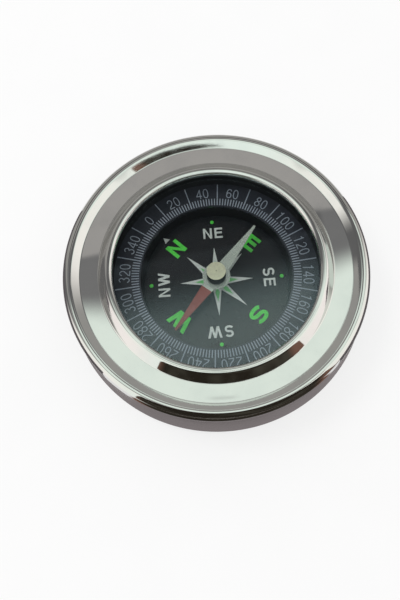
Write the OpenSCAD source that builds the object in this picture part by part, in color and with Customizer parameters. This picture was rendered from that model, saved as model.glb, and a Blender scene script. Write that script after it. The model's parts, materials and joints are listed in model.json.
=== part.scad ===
// Pocket compass in a polished steel case.
// Origin at the centre of the base, +Z up through the crystal, +Y towards the dial's north.
// Millimetres and degrees. Bearings run clockwise from north, seen from above.

/* [Case] */
// Widest diameter, just above the foot of the base cup
case_d = 60; // [48:0.5:75]
// How far the base cup stands out past the bezel, on each side
cup_flare = 1; // [0:0.25:1.5]
// Thickness of the steel sheet
sheet_t = 0.5; // [0.3:0.05:0.6]
// Radius of the rounded foot of the base cup
foot_r = 2; // [1:0.1:3]
// Height of the bezel's straight skirt below the bead's centre
skirt_h = 1.45; // [0.8:0.05:2]

/* [Bezel] */
// Outer radius of the rolled bead's section
bead_r = 1.15; // [1:0.05:1.35]
// Run of the bead's inner flank, from the roll to the crease where the dish starts
bead_run = 0.75; // [0.3:0.05:1]
// Depth of that crease below the crest of the bead
dish_depth = 1.24; // [1:0.02:1.6]
// Width of the dish, from the crease to the foot of the lip
dish_w = 3.45; // [2.4:0.05:5]
// How much the dish falls from the crease to the foot of the lip
dish_fall = 0.44; // [0.1:0.02:0.7]
// Width of the lip, from the opening to its foot in the dish
lip_w = 2.8; // [2.5:0.05:3]
// Outer radius of the lip's rolled edge
lip_r = 0.9; // [0.8:0.05:1]
// How much lower the lip's crest is than the bead's
lip_drop = 0.45; // [0.2:0.05:0.6]
// Inside radius of the bends at the crease and at the foot of the lip
bend_r = 0.4; // [0.1:0.05:0.5]

/* [Crystal] */
// How far the crystal reaches under the lip
crystal_lap = 1.25; // [0.9:0.05:1.3]
// Thickness of the crystal
crystal_t = 1.4; // [1:0.1:1.6]
// Thickness of the gasket under the crystal
gasket_t = 0.5; // [0.3:0.05:0.8]
// Thickness of the gasket's upright edge around the crystal
gasket_w = 0.28; // [0.2:0.02:0.3]
// Clear height between the needle's cap and the crystal
cap_gap = 2.25; // [0.6:0.05:4]

/* [Capsule] */
// Wall of the inner capsule
capsule_wall = 0.8; // [0.6:0.05:1]
// Thickness of the capsule's floor
floor_t = 0.6; // [0.4:0.1:1.4]
// Depth of the dial below the degree scale
well_depth = 3.95; // [3.5:0.05:4.6]
// Thickness of the adhesive pad under the capsule
pad_t = 0.3; // [0.2:0.05:0.6]

/* [Dial] */
// Thickness of the printed dial plate
dial_t = 0.3; // [0.2:0.05:0.8]
// Thickness of the ring that carries the degree scale
scale_t = 0.6; // [0.4:0.05:1]
// Width of that ring, from the wall of the capsule to the sunken well
scale_w = 5.28; // [4.5:0.02:6]

/* [Needle] */
// Clear gap between the needle's tips and the wall of the well
tip_gap = 1.4; // [0.6:0.1:3]
// Thickness of the needle's steel blade
needle_t = 0.3; // [0.2:0.02:0.5]
// Width that the two arms would have at the pivot
needle_w = 3; // [2:0.1:4]
// Width of the rounded tips
needle_tip_w = 0.5; // [0.3:0.05:0.8]
// Diameter of the round hub in the middle of the blade
hub_d = 5.6; // [4.4:0.1:7]
// Clear height between the dial and the blade
needle_lift = 2.55; // [2:0.05:3]
// Bearing of the pale end at rest
needle_bearing = 85; // [0:1:359]

/* [Pivot] */
// Diameter of the nickel cap over the pivot
cap_d = 3.8; // [3.4:0.1:4.4]
// Height of the cap above the blade
cap_h = 2.85; // [2.5:0.05:3.6]
// Thickness of the cap's top over the jewel
cap_roof_t = 0.7; // [0.4:0.05:0.9]
// Chamfer around the cap's top
cap_chamfer = 0.12; // [0.05:0.01:0.2]
// Diameter of the bore that holds the jewel
jewel_d = 2.2; // [1.8:0.05:2.3]
// Height of the jewel
jewel_h = 0.9; // [0.7:0.05:1.1]
// Depth of the jewel's conical cup
jewel_cup_h = 0.65; // [0.4:0.05:0.65]
// Diameter of the pivot pin
pin_d = 0.8; // [0.6:0.05:1]
// Length of the pin's ground point
pin_point_h = 0.8; // [0.6:0.05:1.2]
// Diameter of the bush that holds the pin
bush_d = 2.4; // [2:0.1:3]
// Height of the bush above the dial
bush_h = 0.7; // [0.4:0.05:1]

/* [Spacer] */
// Wall of the spacer ring between the capsule and the case
spacer_wall = 0.8; // [0.6:0.05:1]
// Number of ribs on the spacer ring
rib_count = 12; // [6:1:24]

/* [Hidden] */
$fn = 128;
// Straight steps in each bend of the bezel's section
arc_steps = 12;
// Fits, kept the same at every size of the case
press_gap = 0.01;
fit_gap = 0.05;
slip_gap = 0.15;
// Overrun of the cuts
over = 1;

// Heights, from the table upwards
dial_z = sheet_t + pad_t + floor_t + dial_t;
scale_z = dial_z + well_depth;
blade_z = dial_z + needle_lift;
blade_top = blade_z + needle_t;
cap_top = blade_top + cap_h;
crystal_z = cap_top + cap_gap;
gasket_z = crystal_z - gasket_t;
lip_z = crystal_z + crystal_t;
crest_z = lip_z + lip_r + lip_drop;
bead_z = crest_z - bead_r;
seam_z = bead_z - skirt_h;
dish_z = crest_z - dish_depth;
lip_foot_z = dish_z - dish_fall;

// Radii, from the widest part of the case inwards
case_r = case_d / 2;
bezel_r = case_r - cup_flare;
dish_r = bezel_r - 2 * bead_r - bead_run;
lip_foot_r = dish_r - dish_w;
opening_r = lip_foot_r - lip_w;
crystal_r = opening_r + crystal_lap;
gasket_r = crystal_r + fit_gap + gasket_w;
capsule_r = gasket_r;
capsule_in_r = capsule_r - capsule_wall;
scale_r = capsule_in_r - fit_gap;
well_r = scale_r - scale_w;
needle_r = well_r - tip_gap;

// Centres and tangents of the bezel's two rolled edges, as [radius, height]
bead_c = [bezel_r - bead_r, bead_z];
lip_c = [opening_r + lip_r, lip_z];
crease = [dish_r, dish_z];
lip_foot = [lip_foot_r, lip_foot_z];
bead_turn = touch_from_inside(bead_c, bead_r, crease);
lip_turn = touch_from_outside(lip_c, lip_r, lip_foot);
bead_end = on_circle(bead_c, bead_r, bead_turn);
lip_end = on_circle(lip_c, lip_r, lip_turn);

// Rim of the base cup, which stands inside the bezel's skirt
rim_r = bezel_r - sheet_t - fit_gap;

// Jewel and pin, downwards from the cap's top
jewel_top = cap_top - cap_roof_t;
jewel_z = jewel_top - jewel_h;
pin_tip_z = jewel_z + jewel_cup_h - fit_gap;
pin_tip_r_share = 0.1;
cup_mouth_share = 0.62;
cup_bottom_share = 0.1;
dimple_r = cap_d / 24;
neck_share = 0.92;
// The cap's spigot goes through the blade and stands out below it
spigot_r = (jewel_d / 2 + cap_d / 2) / 2;
spigot_out = needle_t / 2;
bush_flange_r = bush_d / 2 + dial_t;
bush_flange_t = dial_t / 2;

// Angle at which a line from p touches a circle round c: p lies inside of c, or outside of it
function touch_from_inside(c, r, p) = 180 + atan2(c.y - p.y, c.x - p.x) - acos(r / norm(p - c));
function touch_from_outside(c, r, p) = atan2(p.y - c.y, p.x - c.x) + acos(r / norm(p - c));
function on_circle(c, r, a) = c + r * [cos(a), sin(a)];
// Points along an arc round c
function arc(c, r, from, to) =
    [for (i = [0:arc_steps]) on_circle(c, r, from + (to - from) * i / arc_steps)];
// Unit vector to the right of the way from p to q, and its angle
function right_of(p, q) = [q.y - p.y, p.x - q.x] / norm(q - p);
function right_angle(p, q) = atan2(p.x - q.x, q.y - p.y);
// Centre of the bend that rounds the corner at p, between the ways from a and to b
function bend_centre(a, p, b) =
    p - bend_r * (right_of(a, p) + right_of(p, b)) / (1 + right_of(a, p) * right_of(p, b));

// Ring between two radii, from height z0 to height z1
module ring(r_in, r_out, z0, z1) {
    rotate_extrude() translate([r_in, z0]) square([r_out - r_in, z1 - z0]);
}

// Filled outline of the base cup below its seam, drawn in by the given inset
module cup_outline(inset) {
    polygon([
        [0, inset], [case_r - foot_r, inset], [case_r - foot_r, foot_r],
        [case_r - inset, foot_r], [bezel_r - inset, seam_z], [0, seam_z]
    ]);
    intersection() {
        translate([case_r - foot_r, foot_r]) circle(r = foot_r - inset);
        translate([case_r - foot_r, 0]) square(foot_r);
    }
}

// Drawn steel cup: flat bottom, rounded foot, wall leaning in to the seam
module base_cup() {
    color("silver") rotate_extrude() {
        difference() {
            cup_outline(0);
            cup_outline(sheet_t);
        }
        // Shoulder under the bezel's skirt, and the rim inside it
        translate([rim_r - sheet_t, seam_z - sheet_t]) square([bezel_r - rim_r + sheet_t, sheet_t]);
        translate([rim_r - sheet_t, seam_z - sheet_t]) square([sheet_t, skirt_h + sheet_t]);
    }
}

// Line of one face of the bezel's sheet, lying the given depth below the top face
function bezel_line(depth) = [
    [bezel_r - depth, seam_z],
    each arc(bead_c, bead_r - depth, 0, bead_turn),
    each arc(bend_centre(lip_foot, crease, bead_end), bend_r + depth,
        right_angle(crease, bead_end), right_angle(lip_foot, crease)),
    each arc(bend_centre(lip_end, lip_foot, crease), bend_r + depth,
        right_angle(lip_foot, crease), right_angle(lip_end, lip_foot)),
    each arc(lip_c, lip_r - depth, lip_turn, 180)
];

// Pressed steel bezel: skirt, rolled bead, sloping dish and the raised lip over the crystal
module bezel() {
    top = bezel_line(0);
    below = bezel_line(sheet_t);
    color("silver") rotate_extrude()
        polygon(concat(top, [for (i = [len(below) - 1:-1:0]) below[i]]));
}

// Clear disc held up against the lip
module crystal() {
    color("lightcyan", 0.35) translate([0, 0, crystal_z]) cylinder(r = crystal_r, h = crystal_t);
}

// Black ring that the crystal lies on, with an upright edge around it
module crystal_gasket() {
    color("dimgray") {
        ring(opening_r + lip_r / 2, gasket_r, gasket_z, crystal_z);
        ring(crystal_r + fit_gap, gasket_r, crystal_z, crystal_z + crystal_t / 2);
    }
}

// Black moulded capsule: outer wall, ledge for the scale ring, well with its floor
module capsule() {
    ledge_z = scale_z - scale_t;
    color("black") difference() {
        union() {
            ring(capsule_in_r, capsule_r, sheet_t, gasket_z);
            ring(well_r, capsule_r, ledge_z - capsule_wall, ledge_z);
            ring(well_r, well_r + capsule_wall, sheet_t + pad_t, ledge_z);
            translate([0, 0, sheet_t + pad_t]) cylinder(r = well_r + capsule_wall, h = floor_t);
        }
        translate([0, 0, -over]) cylinder(r = bush_d / 2 + press_gap, h = dial_z + over);
    }
}

// Black plastic ring that centres the capsule and carries the bezel's dish
module spacer_ring() {
    inner_r = capsule_r + fit_gap;
    outer_r = min(case_r - foot_r, rim_r - sheet_t) - slip_gap;
    top_z = lip_foot_z - sheet_t - fit_gap;
    rib_top = top_z - sheet_t * 2;
    color("dimgray") {
        ring(inner_r, outer_r, sheet_t, sheet_t + spacer_wall);
        ring(inner_r, inner_r + spacer_wall, sheet_t, top_z);
        for (i = [0:rib_count - 1]) rotate(i * 360 / rib_count)
            translate([inner_r + spacer_wall / 2, -spacer_wall / 2, sheet_t])
                cube([outer_r - inner_r - spacer_wall, spacer_wall, rib_top - sheet_t]);
    }
}

// Adhesive foam disc between the capsule's floor and the base
module backing_pad() {
    color("gray") ring(bush_d / 2 + slip_gap, well_r, sheet_t, sheet_t + pad_t);
}

// Black ring that carries the degree scale, seated on the capsule's ledge
module scale_ring() {
    color("black") ring(well_r, scale_r, scale_z - scale_t, scale_z);
}

// Black dial plate on the floor of the well
module dial_plate() {
    color("black") ring(bush_d / 2 + fit_gap, well_r - slip_gap, dial_z - dial_t, dial_z);
}

// Brass bush pressed into the floor, with a flange that holds the dial down
module pivot_bush() {
    color("goldenrod") rotate_extrude() difference() {
        union() {
            translate([0, sheet_t + pad_t]) square([bush_d / 2, dial_z - sheet_t - pad_t + bush_h]);
            translate([0, dial_z]) square([bush_flange_r, bush_flange_t]);
        }
        translate([0, -over]) square([pin_d / 2 + press_gap, dial_z + bush_h + 2 * over]);
    }
}

// Steel pin with a ground point, on which the needle's jewel rests
module pivot_pin() {
    color("lightgray") {
        translate([0, 0, sheet_t + pad_t])
            cylinder(d = pin_d, h = pin_tip_z - pin_point_h - sheet_t - pad_t);
        translate([0, 0, pin_tip_z - pin_point_h])
            cylinder(h = pin_point_h, d1 = pin_d, d2 = pin_d * pin_tip_r_share);
    }
}

// Magnetised steel blade: two tapering arms, rounded tips and a round hub with its hole
module needle_blade() {
    tip_r = needle_tip_w / 2;
    tip_y = needle_r - tip_r;
    neck = tip_r * neck_share;
    color("gainsboro") rotate(-needle_bearing) translate([0, 0, blade_z]) difference() {
        union() {
            linear_extrude(height = needle_t) polygon([
                [-neck, tip_y], [neck, tip_y], [needle_w / 2, 0],
                [neck, -tip_y], [-neck, -tip_y], [-needle_w / 2, 0]
            ]);
            for (side = [-1, 1]) translate([0, side * tip_y, 0]) cylinder(r = tip_r, h = needle_t);
            cylinder(d = hub_d, h = needle_t);
        }
        translate([0, 0, -over]) cylinder(r = spigot_r + press_gap, h = needle_t + 2 * over);
    }
}

// Nickel cap on the hub, bored from below for the jewel, with a spigot through the blade
module needle_cap() {
    spigot_z = blade_z - spigot_out;
    color("silver") rotate_extrude() difference() {
        union() {
            polygon([
                [0, blade_top], [cap_d / 2, blade_top], [cap_d / 2, cap_top - cap_chamfer],
                [cap_d / 2 - cap_chamfer, cap_top], [0, cap_top]
            ]);
            translate([0, spigot_z]) square([spigot_r, blade_top - spigot_z]);
        }
        translate([0, spigot_z - over]) square([jewel_d / 2, jewel_top - spigot_z + over]);
        translate([0, cap_top]) circle(r = dimple_r);
    }
}

// Jewel in the cap, with the conical cup that rests on the pin
module jewel_bearing() {
    jewel_r = jewel_d / 2 - press_gap;
    color("crimson") difference() {
        translate([0, 0, jewel_z]) cylinder(r = jewel_r, h = jewel_h);
        translate([0, 0, jewel_z])
            cylinder(h = jewel_cup_h, r1 = jewel_r * cup_mouth_share, r2 = jewel_r * cup_bottom_share);
    }
}

base_cup();
bezel();
crystal();
crystal_gasket();
capsule();
spacer_ring();
backing_pad();
scale_ring();
dial_plate();
pivot_bush();
pivot_pin();
needle_blade();
needle_cap();
jewel_bearing();
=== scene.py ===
"""Looks of the pocket compass: smooth steel shells, crystal, printed marks, materials, camera and light."""

import json
import math

import bpy
from mathutils import Matrix, Vector
from mathutils.geometry import tessellate_polygon


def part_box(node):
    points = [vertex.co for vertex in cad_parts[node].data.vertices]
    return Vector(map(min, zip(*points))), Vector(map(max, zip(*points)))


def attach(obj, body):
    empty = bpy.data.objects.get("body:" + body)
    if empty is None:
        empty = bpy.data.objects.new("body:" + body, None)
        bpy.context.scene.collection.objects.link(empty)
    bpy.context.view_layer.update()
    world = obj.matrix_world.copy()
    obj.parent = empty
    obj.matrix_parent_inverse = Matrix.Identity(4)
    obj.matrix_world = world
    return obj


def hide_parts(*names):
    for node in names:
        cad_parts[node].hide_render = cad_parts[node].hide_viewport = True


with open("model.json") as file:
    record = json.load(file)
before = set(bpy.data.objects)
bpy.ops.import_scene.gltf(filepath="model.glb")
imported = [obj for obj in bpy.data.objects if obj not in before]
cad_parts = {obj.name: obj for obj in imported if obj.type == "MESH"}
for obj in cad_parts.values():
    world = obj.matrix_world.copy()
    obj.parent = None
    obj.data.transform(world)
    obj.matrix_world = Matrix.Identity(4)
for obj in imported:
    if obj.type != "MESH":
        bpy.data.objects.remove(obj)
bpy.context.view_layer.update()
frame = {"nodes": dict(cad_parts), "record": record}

# Lengths and places in this script are in millimetres and angles in degrees. Blender's own are in metres
MM = 0.001


def reach(node):
    """Outer radius, lowest height and highest height of a CAD node, in millimetres."""
    low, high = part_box(node)
    return tuple(round(v / MM, 4) for v in (high.x, low.z, high.z))


# Sizes that the frame gives. The cup's rim ends at the height of the bead's centre, and the capsule stands
# on the cup's sheet
CASE_R, _, BEAD_Z = reach("base_cup")
BEZEL_R, SEAM_Z, _ = reach("bezel")
CRYSTAL_R, CRYSTAL_Z, CRYSTAL_TOP = reach("crystal")
CAP_R, _, CAP_TOP = reach("needle_cap")
_, SHEET_T, _ = reach("capsule")
_, _, BLADE_TOP = reach("needle_blade")
_, _, DIAL_Z = reach("dial_plate")
_, _, SCALE_Z = reach("scale_ring")

# Sizes inside the sections of the bezel and the cup, as in the part's source
FOOT_R = 2.0
BEAD_R, BEAD_RUN = 1.15, 0.75
DISH_DEPTH, DISH_W, DISH_FALL = 1.24, 3.45, 0.44
LIP_R, CRYSTAL_LAP = 0.9, 1.25
BEND_R = 0.4
FIT_GAP = 0.05
BEAD_C = (BEZEL_R - BEAD_R, BEAD_Z)
CREASE = (BEZEL_R - 2 * BEAD_R - BEAD_RUN, BEAD_Z + BEAD_R - DISH_DEPTH)
LIP_FOOT = (CREASE[0] - DISH_W, CREASE[1] - DISH_FALL)
LIP_C = (CRYSTAL_R - CRYSTAL_LAP + LIP_R, CRYSTAL_TOP)
RIM_R = BEZEL_R - SHEET_T - FIT_GAP

# Small edges of the crystal and the cap
CRYSTAL_EDGE = 0.12
CAP_EDGE, DIMPLE_R = 0.12, CAP_R / 12

# The needle's pale end points this way at rest, and the other end is red from this radius outwards
NEEDLE_BEARING, RED_FROM, RED_BLUR = 85.0, 3.3, 0.04

# Printed marks stand this far above their surface and reach this far into it, and one printed over another
# stands a layer higher
INK_T, INK_SINK, INK_LAYER = 0.02, 0.005, 0.01

# Degree scale: short ticks, long ticks and numbers, each with the radius where it starts
TICK_R, TICK_W, TICK_L = 15.43, 0.2, 1.5
LONG_TICK_W, LONG_TICK_L = 0.22, 4.87
NUMBER_R, NUMBER_STROKE, NUMBER_PITCH = 17.2, 0.19, 1.42
DIGIT_W, DIGIT_H = 1.3, 2.2

# Dial: big green letters, small white words, dots, arrowhead and rose
LETTER_R, LETTER_H, LETTER_STROKE = 9.45, 3.5, 0.78
LETTER_W = {"N": 3.05, "E": 2.75, "S": 3.4, "W": 4.6}
WORD_R, WORD_H, WORD_STROKE, WORD_GAP = 9.65, 2.4, 0.42, 0.55
WORD_W = {"N": 1.85, "E": 1.7, "S": 1.75, "W": 2.85}
DOT_R, DOT_PLACE_R = 0.4, 13.45
ARROW_FOOT, ARROW_TIP, ARROW_HALF_W = 13.7, 14.95, 0.66
ROSE_MAIN_R, ROSE_SECOND_R, ROSE_NOTCH_R = 8.14, 7.51, 2.2
CORE_FOOT, CORE_MIDDLE, CORE_TIP, CORE_HALF_W = 1.2, 2.6, 4.5, 0.46

# Camera of the photo: where it looks from, and the pixel that it looks at
ELEVATION, TURN, ROLL = 69.81, -46.42, 3.14
DISTANCE, FOCUS_PX = 109.34, 520.6
ASIDE, ABOVE = 0.08, -0.10
AXIS_PX = (216.5, 284.0)
IMAGE_PX = (400, 600)
SENSOR_W = 36.0
NEAR_CLIP, FAR_CLIP = 2, 20000

# Floor, and the share of its white that is its own
FLOOR_HALF_W, FLOOR_OWN_WHITE = 1500.0, 0.75

# Lamp: place to the right of, away from and above the dial, diameter, and power in watts
LAMP_PLACE, LAMP_D, LAMP_POWER = (-330, 140, 560), 240, 0.95

# Heights of the sheets that the steel and the crystal mirror
REFLECTOR_Z, BAR_Z, BOARD_Z, BAND_Z, CARD_Z = 66, 66, 24, 20, 0.2
MIRRORED_WHITE = (0.93, 1.04, 0.95, 1.0)


# Camera
def view_axes(elevation, turn, roll):
    """Right, up and back vectors of a camera that looks at the origin."""
    e, a, r = (math.radians(v) for v in (elevation, turn, roll))
    back = Vector((math.sin(a) * math.cos(e), -math.cos(a) * math.cos(e), math.sin(e)))
    right = Vector((math.cos(a), math.sin(a), 0.0))
    up = back.cross(right)
    c, s = math.cos(r), math.sin(r)
    return c * right - s * up, s * right + c * up, back


def make_camera():
    right, up, back = view_axes(ELEVATION, TURN, ROLL)
    data = bpy.data.cameras.new("camera")
    long_side = max(IMAGE_PX)
    data.sensor_width = SENSOR_W
    data.lens = FOCUS_PX / long_side * data.sensor_width
    data.shift_x = (IMAGE_PX[0] / 2 - AXIS_PX[0]) / long_side
    data.shift_y = (AXIS_PX[1] - IMAGE_PX[1] / 2) / long_side
    data.clip_start, data.clip_end = NEAR_CLIP * MM, FAR_CLIP * MM
    camera = bpy.data.objects.new("camera", data)
    bpy.context.scene.collection.objects.link(camera)
    rotation = Matrix((right, up, back)).transposed().to_4x4()
    place = (back * DISTANCE - right * ASIDE - up * ABOVE) * MM
    camera.matrix_world = Matrix.Translation(place) @ rotation
    bpy.context.scene.camera = camera


# Outlines
def on_circle(centre, radius, angle):
    a = math.radians(angle)
    return (centre[0] + radius * math.cos(a), centre[1] + radius * math.sin(a))


def arc(centre, radius, start, end, steps):
    """Points on an arc, both ends included."""
    return [on_circle(centre, radius, start + (end - start) * k / steps) for k in range(steps + 1)]


def heading(vector):
    return math.degrees(math.atan2(vector[1], vector[0]))


def held_line(p, q, inset=0.02):
    """Two points just inside the ends of a straight part, which keep its shading flat."""
    return [
        (p[0] + (q[0] - p[0]) * share, p[1] + (q[1] - p[1]) * share)
        for share in (inset, 1 - inset)
    ]


def area(outline):
    """Signed area of an outline, which is positive when it runs anticlockwise."""
    return sum(
        x0 * y1 - x1 * y0
        for (x0, y0), (x1, y1) in zip(outline, outline[1:] + outline[:1])
    ) / 2


# Meshes
def add_object(name, vertices, faces, smooth=0.0):
    """Mesh object from points in millimetres. Edges under the given angle are shaded smooth."""
    mesh = bpy.data.meshes.new(name)
    mesh.from_pydata([Vector(v) * MM for v in vertices], [], faces)
    mesh.validate()
    if smooth:
        mesh.polygons.foreach_set("use_smooth", [True] * len(mesh.polygons))
        mesh.set_sharp_from_angle(angle=math.radians(smooth))
    obj = bpy.data.objects.new(name, mesh)
    bpy.context.scene.collection.objects.link(obj)
    return obj


def lathe(name, profile, steps=256, smooth=30.0):
    """Closed solid from a closed outline of (radius, height) points, turned about Z.
    The outline runs clockwise in a drawing with the radius to the right.
    Points on the axis become one vertex."""
    vertices, rows = [], []
    for radius, height in profile:
        if radius == 0:
            rows.append([len(vertices)] * steps)
            vertices.append((0.0, 0.0, height))
            continue
        rows.append(list(range(len(vertices), len(vertices) + steps)))
        for k in range(steps):
            a = 2 * math.pi * k / steps
            vertices.append((radius * math.cos(a), radius * math.sin(a), height))
    faces = []
    for row, after in zip(rows, rows[1:] + rows[:1]):
        if row[0] == row[1] and after[0] == after[1]:
            continue
        for k in range(steps):
            j = (k + 1) % steps
            quad = [row[k], after[k], after[j], row[j]]
            faces.append([v for n, v in enumerate(quad) if v != quad[n - 1]])
    return add_object(name, vertices, faces, smooth)


def prism(loops, low, high):
    """Vertices and faces of a flat plate. The first loop is its outline and the others are holes."""
    points = [p for loop in loops for p in loop]
    n = len(points)
    flat = tessellate_polygon([[Vector((x, y, 0.0)) for x, y in loop] for loop in loops])
    flat = [tri if area([points[i] for i in tri]) > 0 else tri[::-1] for tri in flat]
    vertices = [(x, y, low) for x, y in points] + [(x, y, high) for x, y in points]
    faces = [list(tri[::-1]) for tri in flat] + [[n + i for i in tri] for tri in flat]
    start = 0
    for k, loop in enumerate(loops):
        ring = range(start, start + len(loop))
        outward = (area(loop) > 0) == (k == 0)
        for i, j in zip(ring, list(ring[1:]) + [start]):
            side = [i, j, n + j, n + i]
            faces.append(side if outward else side[::-1])
        start += len(loop)
    return vertices, faces


def join(parts):
    """One list of vertices and faces from several."""
    vertices, faces = [], []
    for v, f in parts:
        start = len(vertices)
        vertices += v
        faces += [[start + i for i in face] for face in f]
    return vertices, faces


def finish(obj, body, material, slot, *nodes):
    """Gives a piece its material and body, and hides the CAD nodes it stands for. The slot is not used."""
    obj.data.materials.clear()
    obj.data.materials.append(material)
    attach(obj, body)
    if nodes:
        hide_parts(*nodes)


def ink(name, shapes, z, material, slot, thickness=INK_T):
    """Printed marks: thin plates that lie on a surface at height z."""
    parts = [prism(shape, z - INK_SINK, z + thickness) for shape in shapes]
    finish(add_object(name, *join(parts)), "case", material, slot)


# Node trees
class Tree:
    """Short names for building a node tree."""

    def __init__(self, tree):
        self.tree = tree
        tree.nodes.clear()

    def add(self, kind, inputs=None, **settings):
        node = self.tree.nodes.new(kind)
        for key, value in settings.items():
            setattr(node, key, value)
        for key, value in (inputs or {}).items():
            self.set(node.inputs[key], value)
        return node

    def set(self, socket, value):
        if isinstance(value, bpy.types.NodeSocket):
            self.tree.links.new(value, socket)
        else:
            socket.default_value = value

    def place(self):
        """Place on the object, as a vector in metres."""
        return self.add("ShaderNodeTexCoord").outputs["Object"]

    def split(self, vector):
        return self.add("ShaderNodeSeparateXYZ", {0: vector}).outputs

    def math(self, operation, a, b=0.0):
        return self.add("ShaderNodeMath", {0: a, 1: b}, operation=operation).outputs[0]

    def times(self, a, b):
        return self.math("MULTIPLY", a, b)

    def minus(self, a, b):
        return self.math("SUBTRACT", a, b)

    def larger(self, a, b):
        return self.math("MAXIMUM", a, b)

    def size(self, value):
        """The value without its sign."""
        return self.math("ABSOLUTE", value)

    def radius(self, x, y):
        return self.math("SQRT", self.math("ADD", self.times(x, x), self.times(y, y)))

    def step(self, value, start, end, low=0.0, high=1.0):
        """Smooth step of a value between two limits."""
        node = self.add(
            "ShaderNodeMapRange",
            {"Value": value, "From Min": start, "From Max": end, "To Min": low, "To Max": high},
            interpolation_type="SMOOTHSTEP",
        )
        return node.outputs[0]

    def rise(self, value, start, end):
        """Smooth step of a place in metres, from 0 to 1 between two limits in millimetres."""
        return self.step(value, start * MM, end * MM)

    def fall(self, value, start, end):
        """Smooth step of a place in metres, from 1 to 0 between two limits in millimetres."""
        return self.step(value, start * MM, end * MM, 1.0, 0.0)

    def swing(self, value, start, end):
        """Smooth step of an angle in radians, from 0 to 1 between two limits in degrees."""
        return self.step(value, math.radians(start), math.radians(end))

    def mix(self, share, a, b):
        node = self.add("ShaderNodeMix", data_type="RGBA", blend_type="MIX")
        self.set(node.inputs[0], share)
        self.set(node.inputs[6], a)
        self.set(node.inputs[7], b)
        return node.outputs[2]

    def ramp(self, value, stops):
        node = self.add("ShaderNodeValToRGB", {0: value})
        elements = node.color_ramp.elements
        while len(elements) < len(stops):
            elements.new(0.5)
        for element, (place, colour) in zip(elements, stops):
            element.position = place
            element.color = colour
        return node.outputs[0]

    def noise(self, vector, scale, detail=3.0, roughness=0.5):
        node = self.add(
            "ShaderNodeTexNoise",
            {"Vector": vector, "Scale": scale, "Detail": detail, "Roughness": roughness},
        )
        return node.outputs[0]

    def bump(self, height, strength, distance):
        """Relief of a pattern, with its depth in metres."""
        node = self.add("ShaderNodeBump", {"Strength": strength, "Distance": distance, "Height": height})
        return node.outputs[0]

    def principled(self, inputs):
        return self.add("ShaderNodeBsdfPrincipled", inputs).outputs[0]

    def glow(self, colour):
        """Shader that shows a colour as it is, whatever lights it."""
        return self.add("ShaderNodeEmission", {"Color": colour, "Strength": 1.0}).outputs[0]

    def clear(self, colour=(1.0, 1.0, 1.0, 1.0)):
        return self.add("ShaderNodeBsdfTransparent", {"Color": colour}).outputs[0]

    def blend(self, share, a, b):
        """Mix of two shaders."""
        return self.add("ShaderNodeMixShader", {0: share, 1: a, 2: b}).outputs[0]

    def surface(self, shader):
        self.add("ShaderNodeOutputMaterial", {"Surface": shader})


def grey(v):
    return (v, v, v, 1.0)


def rgb(r, g, b):
    return (r, g, b, 1.0)


def new_material(name):
    material = bpy.data.materials.new(name)
    material.use_nodes = True
    return material, Tree(material.node_tree)


# Materials
def speckled(name, dark, light, rough, grain, relief=0.15, metallic=0.0, specular=0.5):
    """A material whose colour and roughness vary finely, for moulded, painted or printed surfaces."""
    material, t = new_material(name)
    place = t.place()
    fine = t.noise(place, grain, 4.0, 0.6)
    broad = t.noise(place, grain * 0.11, 2.0)
    colour = t.mix(t.step(fine, 0.3, 0.7), rgb(*dark), rgb(*light))
    colour = t.mix(t.step(broad, 0.35, 0.75, 0.0, 0.35), colour, rgb(*dark))
    t.surface(t.principled({
        "Base Color": colour,
        "Roughness": t.step(fine, 0.2, 0.8, rough * 0.85, min(1.0, rough * 1.15)),
        "Metallic": metallic,
        "Specular IOR Level": specular,
        "Normal": t.bump(fine, relief, 0.00003),
    }))
    return material


def polished_steel():
    """Mirror-polished sheet: faint rub marks that run round the case, and cloudy handling marks."""
    material, t = new_material("polished_steel")
    place = t.place()
    x, y, z = t.split(place)
    angle = t.math("ARCTAN2", y, x)
    lines_per_metre = 9000.0
    across = [t.times(value, lines_per_metre) for value in (t.radius(x, y), z)]
    around = t.add("ShaderNodeCombineXYZ", {0: across[0], 1: angle, 2: across[1]})
    lines = t.noise(around.outputs[0], 1.6, 3.0, 0.6)
    cloud = t.noise(place, 160.0, 4.0, 0.55)
    t.surface(t.principled({
        "Base Color": t.mix(t.step(cloud, 0.35, 0.75), rgb(0.74, 0.735, 0.725), rgb(0.69, 0.69, 0.685)),
        "Metallic": 1.0,
        "Roughness": t.math(
            "ADD", t.step(cloud, 0.3, 0.8, 0.035, 0.07), t.step(lines, 0.45, 0.9, 0.0, 0.02)
        ),
        "Normal": t.bump(lines, 0.02, 0.00001),
    }))
    return material


def satin_steel():
    """The cup's steel: satin, with fine rub lines round the wall and a slightly darker, warmer tone."""
    material, t = new_material("satin_steel")
    place = t.place()
    x, y, z = t.split(place)
    angle = t.math("ARCTAN2", y, x)
    lines_per_metre = 9000.0
    rows = t.add("ShaderNodeCombineXYZ", {0: t.times(z, lines_per_metre), 1: t.times(angle, 3.0)})
    lines = t.noise(rows.outputs[0], 1.0, 3.0, 0.6)
    cloud = t.noise(place, 140.0, 4.0)
    t.surface(t.principled({
        "Base Color": t.mix(t.step(cloud, 0.3, 0.75), rgb(0.60, 0.58, 0.57), rgb(0.53, 0.515, 0.505)),
        "Metallic": 1.0,
        "Roughness": t.step(lines, 0.3, 0.7, 0.16, 0.22),
        "Normal": t.bump(lines, 0.1, 0.00001),
    }))
    return material


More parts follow.
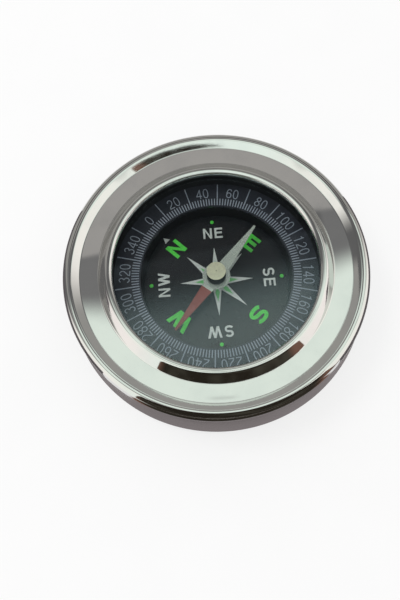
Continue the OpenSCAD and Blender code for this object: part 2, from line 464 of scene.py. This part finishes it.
def clear_crystal():
    """Clear glass that lets the lamps through, with a faint haze of handling marks."""
    material, t = new_material("clear_crystal")
    haze = t.noise(t.place(), 220.0, 5.0, 0.6)
    glass = t.principled({
        "Base Color": t.mix(t.step(haze, 0.4, 0.8), rgb(1.0, 1.0, 1.0), rgb(0.985, 0.995, 0.99)),
        "Roughness": 0.0,
        "IOR": 1.49,
        "Transmission Weight": 1.0,
        "Specular Tint": rgb(0.70, 0.88, 0.96),
    })
    path = t.add("ShaderNodeLightPath")
    lamps = t.larger(path.outputs["Is Shadow Ray"], path.outputs["Is Diffuse Ray"])
    t.surface(t.blend(lamps, glass, t.clear(rgb(0.93, 0.95, 0.94))))
    return material


def needle_paint():
    """The blade: a pale satin surface, slightly metallic, with brick red paint on one end."""
    material, t = new_material("needle_paint")
    place = t.place()
    b = math.radians(NEEDLE_BEARING)
    toward_pale = t.add(
        "ShaderNodeVectorMath", {0: place, 1: (math.sin(b), math.cos(b), 0.0)}, operation="DOT_PRODUCT"
    ).outputs["Value"]
    red = t.fall(toward_pale, -(RED_FROM + RED_BLUR), -(RED_FROM - RED_BLUR))
    fine = t.noise(place, 2500.0, 4.0, 0.6)
    broad = t.step(t.noise(place, 300.0, 3.0), 0.3, 0.7)
    pale = t.mix(broad, rgb(0.80, 0.90, 0.82), rgb(0.86, 0.96, 0.88))
    brick = t.mix(broad, rgb(0.18, 0.050, 0.042), rgb(0.23, 0.072, 0.062))
    t.surface(t.principled({
        "Base Color": t.mix(red, pale, brick),
        "Metallic": t.step(red, 0.0, 1.0, 0.75, 0.0),
        "Roughness": t.step(fine, 0.2, 0.8, 0.18, 0.22),
        "Specular IOR Level": 0.15,
        "Normal": t.bump(fine, 0.04, 0.00001),
    }))
    return material


def turned_nickel():
    """The cap: a satin, slightly warm top with fine turned rings, and a wall in painted shade, near black and
    without a mirror, for the shade and dark reflections on it.
    """
    material, t = new_material("turned_nickel")
    place = t.place()
    x, y, z = t.split(place)
    wall = t.fall(z, CAP_TOP - CAP_EDGE - 0.04, CAP_TOP - CAP_EDGE + 0.02)
    along = t.math("ADD", t.radius(x, y), z)
    rings_per_metre = 14000.0
    grooves = t.add("ShaderNodeCombineXYZ", {0: t.times(along, rings_per_metre)})
    lines = t.noise(grooves.outputs[0], 1.0, 2.0)
    fine = t.noise(place, 1500.0, 4.0)
    top = t.mix(t.step(fine, 0.3, 0.7), rgb(0.61, 0.62, 0.465), rgb(0.70, 0.715, 0.53))
    t.surface(t.principled({
        # Painted shade and painted dark reflection: the nickel wall is near black, dull and mirrors nothing,
        # for its shade and the dark dial it would mirror
        "Base Color": t.mix(wall, top, rgb(0.012, 0.011, 0.010)),
        "Metallic": t.step(wall, 0.0, 1.0, 0.5, 0.0),
        "Roughness": t.minus(t.step(fine, 0.25, 0.75, 0.3, 0.42), t.times(wall, 0.2)),
        "Specular IOR Level": t.step(wall, 0.0, 1.0, 0.5, 0.0),
        "Normal": t.bump(lines, t.step(wall, 0.0, 1.0, 0.25, 0.04), 0.00002),
    }))
    return material


# Dark and light colour, roughness, grain in noise cells per metre, and what differs from speckled's values
SPECKLED = {
    "gasket_rubber": ((0.012, 0.012, 0.012), (0.03, 0.03, 0.03), 0.6, 3000, {}),
    "capsule_plastic": (
        (0.006, 0.006, 0.007), (0.010, 0.010, 0.012), 0.6, 2200, {"relief": 0.1, "specular": 0.1}
    ),
    "spacer_plastic": ((0.03, 0.03, 0.03), (0.05, 0.05, 0.05), 0.55, 2000, {}),
    "pad_foam": ((0.12, 0.12, 0.12), (0.2, 0.2, 0.2), 0.9, 2500, {"relief": 0.6}),
    "scale_black": (
        (0.024, 0.026, 0.034), (0.031, 0.034, 0.045), 0.2, 1800, {"relief": 0.02, "specular": 0.35}
    ),
    "dial_black": ((0.008, 0.009, 0.011), (0.013, 0.014, 0.017), 0.2, 1800, {"relief": 0.02}),
    "bush_brass": ((0.55, 0.38, 0.14), (0.70, 0.50, 0.22), 0.3, 2500, {"relief": 0.1, "metallic": 1.0}),
    "pin_steel": ((0.45, 0.45, 0.45), (0.60, 0.60, 0.60), 0.25, 4000, {"relief": 0.1, "metallic": 1.0}),
    "jewel_stone": ((0.35, 0.01, 0.03), (0.5, 0.02, 0.06), 0.1, 1500, {"relief": 0.02}),
    "ink_blue_grey": ((0.20, 0.24, 0.30), (0.30, 0.34, 0.40), 0.55, 2500, {"relief": 0.05}),
    "ink_white": ((0.42, 0.46, 0.45), (0.58, 0.62, 0.60), 0.5, 2500, {"relief": 0.05}),
    "ink_green": ((0.05, 0.50, 0.04), (0.08, 0.66, 0.06), 0.5, 2500, {"relief": 0.05}),
    "ink_pale_green": ((0.10, 0.42, 0.12), (0.15, 0.52, 0.17), 0.5, 2500, {"relief": 0.05}),
}


def make_materials():
    """Every material, by the record's name for its slot or by the name of its ink."""
    made = {
        "case_steel": polished_steel(),
        "cup_steel": satin_steel(),
        "crystal_glass": clear_crystal(),
        "needle_paint": needle_paint(),
        "cap_nickel": turned_nickel(),
    }
    for name, (dark, light, rough, grain, other) in SPECKLED.items():
        made[name] = speckled(name, dark, light, rough, grain, **other)
    return made


# Case
def circle_touch(centre, radius, point, side):
    """Angle at which a line from a point touches a circle."""
    dx, dy = point[0] - centre[0], point[1] - centre[1]
    return math.degrees(math.atan2(dy, dx) + side * math.acos(radius / math.hypot(dx, dy)))


def bend(a, p, b, depth):
    """The bezel's bend at p, from the straight part to b to the one from a, at a depth in its sheet."""
    def right_of(u, v):
        length = math.dist(u, v)
        return ((v[1] - u[1]) / length, (u[0] - v[0]) / length)

    m, n = right_of(a, p), right_of(p, b)
    k = BEND_R / (1 + m[0] * n[0] + m[1] * n[1])
    centre = (p[0] - k * (m[0] + n[0]), p[1] - k * (m[1] + n[1]))
    return arc(centre, BEND_R + depth, heading(n), heading(m), steps=10)


def bezel_face(depth):
    """Outline of one face of the bezel's sheet, from the skirt to the lip's edge."""
    # The bead is touched on its inner flank and the lip on its outer one
    bead_turn = circle_touch(BEAD_C, BEAD_R, CREASE, -1) % 360
    lip_turn = circle_touch(LIP_C, LIP_R, LIP_FOOT, 1)
    bead_end = on_circle(BEAD_C, BEAD_R, bead_turn)
    lip_end = on_circle(LIP_C, LIP_R, lip_turn)
    skirt = (BEZEL_R - depth, SEAM_Z)
    bead = arc(BEAD_C, BEAD_R - depth, 0.0, bead_turn, steps=40)
    crease = bend(LIP_FOOT, CREASE, bead_end, depth)
    foot = bend(lip_end, LIP_FOOT, CREASE, depth)
    lip = arc(LIP_C, LIP_R - depth, lip_turn, 180.0, steps=36)
    points = [skirt] + held_line(skirt, bead[0]) + bead
    for piece in (crease, foot, lip):
        points += held_line(points[-1], piece[0]) + piece
    return points


def build_bezel(mats):
    bezel = lathe("bezel_steel", bezel_face(0.0)[::-1] + bezel_face(SHEET_T), steps=320)
    finish(bezel, "case", mats["case_steel"], "case_steel", "bezel")


def build_base_cup(mats):
    """Drawn cup: flat bottom, rounded foot, leaning wall, shoulder and the rim inside the bezel."""
    middle = (0.0, 0.0)
    wall_in = CASE_R - SHEET_T
    slope = (CASE_R - BEZEL_R) / (SEAM_Z - FOOT_R)
    shoulder = SEAM_Z - SHEET_T
    foot_c = (CASE_R - FOOT_R, FOOT_R)
    outer = [middle] + held_line(middle, (foot_c[0], 0.0), inset=0.01)
    outer += arc(foot_c, FOOT_R, -90.0, 0.0, steps=24)
    outer += held_line((CASE_R, FOOT_R), (BEZEL_R, SEAM_Z)) + [(BEZEL_R, SEAM_Z)]
    rim = [(RIM_R, SEAM_Z), (RIM_R, BEAD_Z), (RIM_R - SHEET_T, BEAD_Z), (RIM_R - SHEET_T, shoulder)]
    inner = [(wall_in - slope * (shoulder - FOOT_R), shoulder), (wall_in, FOOT_R)]
    inner += arc(foot_c, FOOT_R - SHEET_T, 0.0, -90.0, steps=16)[1:] + [(0.0, SHEET_T)]
    cup = lathe("base_cup_steel", (outer + rim + inner)[::-1])
    finish(cup, "case", mats["cup_steel"], "case_steel", "base_cup")


def build_crystal(mats):
    """Flat disc with a small chamfer at both edges."""
    low, high, edge = CRYSTAL_Z, CRYSTAL_TOP, CRYSTAL_EDGE
    disc = [
        (0.0, low), (CRYSTAL_R - edge, low), (CRYSTAL_R, low + edge),
        (CRYSTAL_R, high - edge), (CRYSTAL_R - edge, high), (0.0, high),
    ]
    crystal = lathe("crystal_pane", disc[::-1], steps=192, smooth=20.0)
    finish(crystal, "case", mats["crystal_glass"], "crystal_glass", "crystal")


# Needle
def build_needle_cap(mats):
    """Turned cap with a rounded edge and a small round dimple in its top."""
    edge_c = (CAP_R - CAP_EDGE, CAP_TOP - CAP_EDGE)
    side = [(0.0, BLADE_TOP), (CAP_R, BLADE_TOP), (CAP_R, edge_c[1])]
    top = arc(edge_c, CAP_EDGE, 0.0, 90.0, steps=6) + [(DIMPLE_R, CAP_TOP)]
    dimple = arc((0.0, CAP_TOP), DIMPLE_R, 0.0, -90.0, steps=6)[1:-1] + [(0.0, CAP_TOP - DIMPLE_R)]
    cap = lathe("needle_cap_nickel", (side + top + dimple)[::-1], steps=128, smooth=35.0)
    finish(cap, "needle", mats["cap_nickel"], "cap_nickel", "needle_cap")


# Printed shapes: a shape is a list of loops, of which the first is its outline and the others are holes
def at_bearing(shape, radius, bearing):
    """Moves a shape drawn about (0, 0), with its top outwards, to a place on the dial."""
    c, s = math.cos(math.radians(bearing)), math.sin(math.radians(bearing))
    return [
        [(x * c + (radius + y) * s, (radius + y) * c - x * s) for x, y in loop]
        for loop in shape
    ]


def offset_line(points, distance, closed, mitre_limit=0.35):
    """A line of points moved to its left, with mitred corners."""
    out, n = [], len(points)
    for k, (x, y) in enumerate(points):
        before = points[k - 1] if closed or k else points[k]
        after = points[(k + 1) % n] if closed or k < n - 1 else points[k]
        ways = []
        for (x0, y0), (x1, y1) in ((before, (x, y)), ((x, y), after)):
            length = math.hypot(x1 - x0, y1 - y0)
            if length > 0:
                ways.append(((x1 - x0) / length, (y1 - y0) / length))
        ux, uy = ways[0]
        vx, vy = ways[-1]
        scale = distance / max(mitre_limit, 1 + ux * vx + uy * vy)
        out.append((x - (uy + vy) * scale, y + (ux + vx) * scale))
    return out


def stroke(points, width, closed=False):
    """A shape: a stroke of one width along a line of points."""
    left = offset_line(points, width / 2, closed)
    right = offset_line(points, -width / 2, closed)
    if not closed:
        return [right + left[::-1]]
    return [left, right] if abs(area(left)) > abs(area(right)) else [right, left]


def oval(cx, cy, rx, ry, start=0.0, end=360.0, steps=20, square=1.0):
    """Points on an ellipse between two angles. A lower square makes its corners fuller."""
    out = []
    closed = abs(end - start) >= 360
    for k in range(steps if closed else steps + 1):
        a = math.radians(start + (end - start) * k / steps)
        c, s = math.cos(a), math.sin(a)
        x = math.copysign(abs(c) ** square, c)
        y = math.copysign(abs(s) ** square, s)
        out.append((cx + rx * x, cy + ry * y))
    return out


# Digits: each fills a box DIGIT_W wide and DIGIT_H high with strokes of width t, and is a list of shapes
def digit_0(t):
    rx, ry = 0.56 - t / 2, DIGIT_H / 2 - t / 2
    return [stroke(oval(DIGIT_W / 2, DIGIT_H / 2, rx, ry, square=0.85), t, True)]


def digit_1(t):
    stem = 0.55
    return [[[
        (stem, 0.0), (stem + t, 0.0), (stem + t, DIGIT_H), (0.58, DIGIT_H),
        (0.5, 1.95), (0.18, 1.8), (0.18, 1.62), (stem, 1.7),
    ]]]


def digit_2(t):
    h = t / 2
    bow = oval(0.65, 1.53, 0.55 - h, 0.67 - h, 172, -38, 14)
    return [stroke(bow + [(0.66, 0.78), (0.32, 0.46), (0.12 + h, h), (1.2, h)], t)]


def digit_3(t):
    h = t / 2
    upper = oval(0.62, 1.65, 0.5 - h, 0.55 - h, 165, -85, 12)
    lower = oval(0.62, 0.62, 0.56 - h, 0.62 - h, 80, -165, 14)
    return [stroke(upper, t), stroke(lower, t)]


def digit_4(t):
    stem, bar_y = 0.8, 0.52
    outer = [
        (stem, 0.0), (stem + t, 0.0), (stem + t, bar_y), (1.26, bar_y), (1.26, bar_y + t),
        (stem + t, bar_y + t), (stem + t, DIGIT_H), (0.82, DIGIT_H), (0.06, 0.74), (0.06, bar_y),
        (stem, bar_y),
    ]
    return [[outer, [(stem, bar_y + t), (0.06 + 1.2 * t, bar_y + t), (stem, 1.82)]]]


def digit_6(t):
    h = t / 2
    bowl = stroke(oval(0.66, 0.68, 0.55 - h, 0.68 - h, square=0.95), t, True)
    back = oval(0.7, 1.1, 0.6 - h, 1.1 - h, 192, 38, 16)
    return [bowl, stroke(back, t)]


def digit_8(t):
    h = t / 2
    return [
        stroke(oval(0.65, 1.66, 0.48 - h, 0.54 - h), t, True),
        stroke(oval(0.65, 0.6, 0.56 - h, 0.6 - h), t, True),
    ]


DIGITS = {
    "0": digit_0, "1": digit_1, "2": digit_2, "3": digit_3, "4": digit_4, "6": digit_6, "8": digit_8,
}


def number(text, t, pitch):
    """Shapes of a number, centred on x, with its foot on y = 0."""
    start = -(pitch * len(text)) / 2
    out = []
    for k, char in enumerate(text):
        x0 = start + pitch * k + (pitch - DIGIT_W) / 2
        out += [[[(x + x0, y) for x, y in loop] for loop in shape] for shape in DIGITS[char](t)]
    return out


# Letters: each fills a box of width w and height h with strokes of width t, and is one outline
def letter_n(w, h, t):
    d = t * 1.5
    return [
        (0, 0), (t, 0), (t, h - d), (w - t, 0), (w, 0),
        (w, h), (w - t, h), (w - t, d), (t, h), (0, h),
    ]


def letter_e(w, h, t):
    m = (h - t) / 2 + 0.03 * h
    a = w * 0.93
    return [
        (0, 0), (w, 0), (w, t), (t, t), (t, m), (a, m),
        (a, m + t), (t, m + t), (t, h - t), (w, h - t), (w, h), (0, h),
    ]


def letter_w(w, h, t):
    t *= 1.12
    c, p = w / 2, w * 0.2
    low = h * (c - p - t) / (c - p - t / 2)
    u = t / (c - t / 2)
    x, y = t + p * (1 - u), h * u
    return [
        (p, 0), (p + t, 0), (c, low), (w - p - t, 0), (w - p, 0), (w, h), (w - t, h),
        (w - x, y), (c + t / 2, h), (c - t / 2, h), (x, y), (t, h), (0, h),
    ]


def letter_s(w, h, t):
    rx = (w - t) / 2
    ry = (h - t) / 4
    upper = oval(w / 2, h - t / 2 - ry, rx * 0.96, ry, 22, 262, 22, 0.9)
    lower = oval(w / 2, t / 2 + ry, rx, ry, 82, -158, 22, 0.9)
    return stroke(upper + lower, t)[0]


LETTERS = {"N": letter_n, "E": letter_e, "S": letter_s, "W": letter_w}


def word(text, widths, h, t, gap=0.0):
    """Shapes of a word, centred on x, with its foot on y = 0."""
    chosen = [widths[char] for char in text]
    x, out = -(sum(chosen) + gap * (len(text) - 1)) / 2, []
    for char, w in zip(text, chosen):
        outline = [(px + x, py) for px, py in LETTERS[char](w, h, t)]
        out.append([outline if area(outline) > 0 else outline[::-1]])
        x += w + gap
    return out


def bar(width, length):
    half = width / 2
    return [[(-half, 0.0), (half, 0.0), (half, length), (-half, length)]]


# Prints
def print_scale(mats):
    """Ticks every 2 degrees, long ones between the numbers, and a number every 20 degrees."""
    short_tick, long_tick = bar(TICK_W, TICK_L), bar(LONG_TICK_W, LONG_TICK_L)
    ticks = [at_bearing(short_tick, TICK_R, b) for b in range(0, 360, 2) if b % 20 != 10]
    ticks += [at_bearing(long_tick, TICK_R, b) for b in range(10, 360, 20)]
    ink("degree_ticks", ticks, SCALE_Z, mats["ink_blue_grey"], "scale_black")
    figures = [
        at_bearing(shape, NUMBER_R, b)
        for b in range(0, 360, 20)
        for shape in number(str(b), NUMBER_STROKE, NUMBER_PITCH)
    ]
    ink("degree_numbers", figures, SCALE_Z, mats["ink_blue_grey"], "scale_black")


def print_words(mats):
    """Green letters and dots, and white words with the arrowhead at north."""
    green = []
    for text, bearing in (("N", 0), ("E", 90), ("S", 180), ("W", 270)):
        shapes = word(text, LETTER_W, LETTER_H, LETTER_STROKE)
        green += [at_bearing(shape, LETTER_R, bearing) for shape in shapes]
    dot = [oval(0.0, 0.0, DOT_R, DOT_R)]
    green += [at_bearing(dot, DOT_PLACE_R, b) for b in (45, 135, 225, 315)]
    ink("letters_green", green, DIAL_Z, mats["ink_green"], "dial_black")

    white = []
    for text, bearing in (("NE", 45), ("SE", 135), ("SW", 225), ("NW", 315)):
        shapes = word(text, WORD_W, WORD_H, WORD_STROKE, WORD_GAP)
        white += [at_bearing(shape, WORD_R, bearing) for shape in shapes]
    white.append([[(-ARROW_HALF_W, ARROW_FOOT), (ARROW_HALF_W, ARROW_FOOT), (0.0, ARROW_TIP)]])
    ink("letters_white", white, DIAL_Z, mats["ink_white"], "dial_black")


def print_rose(mats):
    """Star of eight points, alternately longer and shorter, with a green core in each point."""
    star = []
    for k in range(8):
        tip = ROSE_SECOND_R if k % 2 else ROSE_MAIN_R
        for radius, bearing in ((tip, 45 * k), (ROSE_NOTCH_R, 45 * k + 22.5)):
            b = math.radians(bearing)
            star.append((radius * math.sin(b), radius * math.cos(b)))
    ink("rose_white", [[star[::-1]]], DIAL_Z, mats["ink_white"], "dial_black")
    core = [[(0.0, CORE_FOOT), (CORE_HALF_W, CORE_MIDDLE), (0.0, CORE_TIP), (-CORE_HALF_W, CORE_MIDDLE)]]
    cores = [at_bearing(core, 0.0, 45 * k) for k in range(8)]
    ink("rose_green", cores, DIAL_Z, mats["ink_pale_green"], "dial_black", INK_T + INK_LAYER)


# Floor and lamp
def build_floor():
    """White floor, part of whose white is its own, so that the object's shadow on it stays but is faint."""
    material, t = new_material("floor_white")
    fine = t.noise(t.place(), 60.0, 4.0)
    lit = t.principled({
        "Base Color": t.mix(fine, grey(0.90), grey(0.93)),
        "Roughness": 0.9,
        "Specular IOR Level": 0.1,
    })
    white = t.glow(t.mix(fine, grey(0.975), grey(0.995)))
    path = t.add("ShaderNodeLightPath")
    seen = t.larger(path.outputs["Is Camera Ray"], path.outputs["Is Glossy Ray"])
    seen = t.larger(seen, path.outputs["Is Transmission Ray"])
    t.surface(t.blend(t.times(seen, FLOOR_OWN_WHITE), lit, white))
    w = FLOOR_HALF_W
    floor = add_object("floor", [(-w, -w, 0), (w, -w, 0), (w, w, 0), (-w, w, 0)], [[0, 1, 2, 3]])
    floor.data.materials.append(material)


def viewer_turn(size):
    """Turn from the viewer's directions, right, away and up, to the frame's."""
    return Matrix.Rotation(math.radians(TURN), size, "Z")


def area_light(name, place, diameter, power):
    """Soft lamp aimed at the dial, placed in the viewer's directions, which shows in no reflection."""
    data = bpy.data.lights.new(name, "AREA")
    data.shape = "DISK"
    data.size = diameter * MM
    data.energy = power
    lamp = bpy.data.objects.new(name, data)
    bpy.context.scene.collection.objects.link(lamp)
    spot = viewer_turn(3) @ (Vector(place) * MM)
    lamp.matrix_world = Matrix.Translation(spot) @ spot.to_track_quat("Z", "Y").to_matrix().to_4x4()
    lamp.visible_glossy = False
    lamp.visible_transmission = False
    lamp.visible_camera = False


# Room that the steel and the crystal mirror, in the viewer's directions
def show_in_mirrors(obj, height, material):
    """Turns a piece of the room to the viewer, lifts it, and shows it only in reflections."""
    obj.matrix_world = Matrix.Translation(Vector((0, 0, height)) * MM) @ viewer_turn(4)
    obj.data.materials.append(material)
    obj.visible_camera = False
    obj.visible_diffuse = False
    obj.visible_shadow = False


def mirrored_sheet(name, height, corners, material):
    """A flat sheet, facing down, with corners in the viewer's directions."""
    sheet = add_object(name, [(x, y, 0) for x, y in corners], [list(range(len(corners)))[::-1]])
    show_in_mirrors(sheet, height, material)


def build_reflector():
    """Pale sheet over the near half of the dial, with a grey frame beyond its far edge."""
    material, t = new_material("reflector")
    x, y, _ = t.split(t.place())
    aside = t.size(x)
    # The far edges of the sheet and of its frame lie a little askew
    sheet_slant, frame_slant = 0.135, 0.145
    cover = t.fall(t.minus(y, t.times(x, sheet_slant)), 14.9, 20.9)
    cover = t.times(cover, t.rise(y, -16, -10))
    cover = t.times(cover, t.fall(aside, 34, 42))
    rail = t.times(t.fall(t.minus(y, t.times(x, frame_slant)), 27.8, 28.8), t.rise(y, -2, 4))
    # The lip's right flank mirrors the right end of the frame, which is pale there
    end = t.times(t.rise(x, 29.5, 31.5), t.rise(y, 0, 4))
    frame_grey = t.step(aside, 19.5 * MM, 21.5 * MM, 0.14, 0.21)
    glow = t.mix(t.larger(cover, end), frame_grey, MIRRORED_WHITE)
    # A darker patch on the sheet, which the near part of the dish shows as a faint painted dark reflection
    dark_patch_range = 10
    dark_patch_stops = ((1.8, 0.0), (2.3, 0.4), (2.6, 0.4), (3.1, 0.0))
    nearer = t.times(y, -1 / (dark_patch_range * MM))
    painted_dark_patch = t.ramp(nearer, [(place / dark_patch_range, grey(share)) for place, share in dark_patch_stops])
    glow = t.mix(t.times(t.fall(aside, 1.0, 3.8), painted_dark_patch), glow, grey(0.3))
    t.surface(t.blend(t.larger(cover, rail), t.clear(), t.glow(glow)))
    mirrored_sheet("reflector", REFLECTOR_Z, [(-46, -20), (46, -20), (46, 38), (-46, 38)], material)


def build_graded_band():
    """Graded band low over the glass, which mirrors it: pale towards the viewer and dark beyond."""
    material, t = new_material("graded_band")
    x, y, _ = t.split(t.place())
    slant = 0.17
    pale = t.fall(t.minus(y, t.times(x, slant)), -6.8, 4.0)
    t.surface(t.glow(t.mix(pale, grey(0.14), MIRRORED_WHITE)))
    centre, radius = (0, 3.8), 21.8
    right = arc(centre, radius, -22.6, 14.1, steps=10)
    left = arc(centre, radius, 185.2, 221.9, steps=10)
    mirrored_sheet("graded_band", BAND_Z, right + left, material)


def brown_dark(t, ends):
    """Colour of the dark things behind the camera, which are redder at their ends."""
    cloud = t.noise(t.place(), 60.0, 2.0)
    brown = t.mix(t.step(cloud, 0.4, 0.7), rgb(0.022, 0.018, 0.013), rgb(0.060, 0.055, 0.042))
    return t.mix(ends, brown, rgb(0.20, 0.11, 0.08))


def build_dark_board():
    """Dark brown board just beyond the near rim, in front of the camera."""
    material, t = new_material("dark_board")
    x, y, _ = t.split(t.place())
    ratio = t.math("DIVIDE", x, t.times(y, -1.0))
    ends = t.larger(t.step(ratio, 0.86, 1.1), t.step(ratio, -0.66, -0.85))
    t.surface(t.glow(brown_dark(t, ends)))
    near_y = -90
    corners = [(-17.5, -25.2), (-61, -72), (-61, near_y), (88, near_y), (88, -58), (25, -24.4)]
    mirrored_sheet("dark_board", BOARD_Z, corners, material)


def build_front_card():
    """Card on the floor before the near rim: grey along the case, then dark, and clear beyond its sides."""
    material, t = new_material("front_card")
    x, y, _ = t.split(t.place())
    beyond = t.rise(t.radius(x, y), 32.8, 34.0)
    # The dark part is a fan that opens from the near rim towards the camera, more to the right than left
    fan_y, right_spread, left_spread = -20, 1.25, 0.95
    forward = t.minus(fan_y * MM, y)
    right = t.minus(x, t.times(forward, right_spread))
    left = t.minus(t.times(x, -1.0), t.times(forward, left_spread))
    ends = t.larger(t.rise(right, 8, 18), t.rise(left, 4, 12))
    shade = t.mix(beyond, rgb(0.27, 0.245, 0.25), brown_dark(t, ends))
    past_side = t.larger(t.rise(right, 18, 22), t.rise(left, 12, 16))
    t.surface(t.blend(t.times(past_side, beyond), t.glow(shade), t.clear()))
    far_y, near_y = -2, -1450
    corners = [(-36, far_y), (-60, -40), (-1400, near_y), (1850, near_y), (60, -40), (36, far_y)]
    mirrored_sheet("front_card", CARD_Z, corners, material)


def build_dark_bar():
    """Thin dark bar over the near rim. The bead's far left flank mirrors it as a tapering wedge."""
    material, t = new_material("dark_bar")
    x, _, _ = t.split(t.place())
    t.surface(t.glow(brown_dark(t, t.rise(x, 26.5, 31.5))))
    lower = [(-7, -27.7), (7.3, -29), (19.2, -26.9), (34.6, -19.6)]
    upper = [(32.8, -15.6), (23.4, -20.8), (14.3, -24.5), (3.5, -26.5)]
    mirrored_sheet("dark_bar", BAR_Z, lower + upper, material)


def build_side_fences():
    """Low dark fence to the left and right, which the bead's outermost edge mirrors as a thin line."""
    material, t = new_material("side_fence")
    cloud = t.noise(t.place(), 60.0, 2.0)
    t.surface(t.glow(t.mix(cloud, rgb(0.10, 0.09, 0.095), rgb(0.16, 0.145, 0.15))))
    radius, low, high, spread, steps = 36, 0.3, 14, 70, 10
    for name, first in (("fence_right", -40), ("fence_left", 150)):
        path = arc((0, 0), radius, first, first + spread, steps)
        points = [(x, y, z) for z in (low, high) for x, y in path]
        faces = [(i, i + 1, i + steps + 2, i + steps + 1) for i in range(steps)]
        show_in_mirrors(add_object(name, points, faces), 0, material)


def build_world():
    """Studio as the case mirrors it: bright sides, a grey far wall, and a dark low band behind the camera."""
    world = bpy.data.worlds.new("studio")
    bpy.context.scene.world = world
    world.use_nodes = True
    t = Tree(world.node_tree)
    direction = t.add("ShaderNodeTexCoord").outputs["Generated"]
    turned = t.add(
        "ShaderNodeVectorRotate",
        {"Vector": direction, "Angle": math.radians(-TURN)},
        rotation_type="Z_AXIS",
    )
    x, y, z = t.split(turned.outputs[0])
    rightward = t.math("ARCTAN2", x, y)
    leftward = t.times(rightward, -1.0)
    # Places on a ceiling one unit up, which the horizon's least height keeps finite
    least_height = 0.02
    level = t.larger(z, least_height)
    across, away = t.math("DIVIDE", x, level), t.math("DIVIDE", y, level)

    # Bright sides, and a grey far wall whose left corner is darker
    far_wall = rgb(0.37, 0.365, 0.345)
    bright = t.mix(t.step(z, 0.1, 0.9), rgb(1.16, 1.09, 1.05), rgb(1.10, 1.14, 1.05))
    bright = t.mix(t.swing(t.size(rightward), 110, 150), bright, rgb(1.02, 1.14, 1.06))
    corner = t.times(t.swing(leftward, 60, 67), t.step(z, 0.75, 0.9, 1.0, 0.0))
    far_side = t.mix(corner, far_wall, grey(0.15))
    lit = t.larger(t.swing(rightward, 48, 72), t.swing(leftward, 76, 92))
    colour = t.mix(lit, far_side, bright)

    # Beyond the reflector the ceiling turns from grey to dark, which keeps the far half of the dial black
    ceiling_depth = 0.8
    ceiling = t.ramp(t.math("DIVIDE", away, ceiling_depth), [
        (0.40, rgb(0.44, 0.43, 0.41)), (0.495, rgb(0.41, 0.40, 0.385)),
        (0.525, grey(0.06)), (0.55, grey(0.05)), (0.80, grey(0.05)), (0.88, far_wall),
    ])
    inside = t.times(t.step(t.size(across), 0.26, 0.36, 1.0, 0.0), t.step(away, 0.15, 0.3))
    colour = t.mix(t.times(inside, t.step(z, 0.05, 0.1)), colour, ceiling)

    # Low and dark behind the camera, with warm edges
    behind = t.larger(t.swing(rightward, 104, 122), t.swing(rightward, -130, -148))
    dark = t.times(behind, t.step(z, 0.10, 0.30, 1.0, 0.0))
    warm = t.ramp(dark, [
        (0.0, rgb(0.9, 0.8, 0.75)), (0.5, rgb(0.22, 0.13, 0.10)), (1.0, rgb(0.035, 0.022, 0.018)),
    ])
    colour = t.mix(dark, colour, warm)

    # The soft light that fills the scene comes mostly from the far side
    path = t.add("ShaderNodeLightPath")
    fill = t.step(y, -0.5, 0.6, 0.72, 1.0)
    colour = t.mix(path.outputs["Is Diffuse Ray"], colour, fill)
    background = t.add("ShaderNodeBackground", {"Color": colour, "Strength": 1.0})
    t.add("ShaderNodeOutputWorld", {"Surface": background.outputs[0]})


# Build
bpy.context.scene.view_settings.view_transform = "Standard"
make_camera()
mats = make_materials()
for subpart in frame["record"]["subparts"]:
    node = frame["nodes"][subpart["node"]]
    node.data.materials.clear()
    node.data.materials.append(mats[subpart["material_slot"]])
build_bezel(mats)
build_base_cup(mats)
build_crystal(mats)
build_needle_cap(mats)
print_scale(mats)
print_words(mats)
print_rose(mats)
build_floor()
build_reflector()
build_dark_board()
build_front_card()
build_dark_bar()
build_side_fences()
build_graded_band()
build_world()
area_light("key", LAMP_PLACE, LAMP_D, LAMP_POWER)
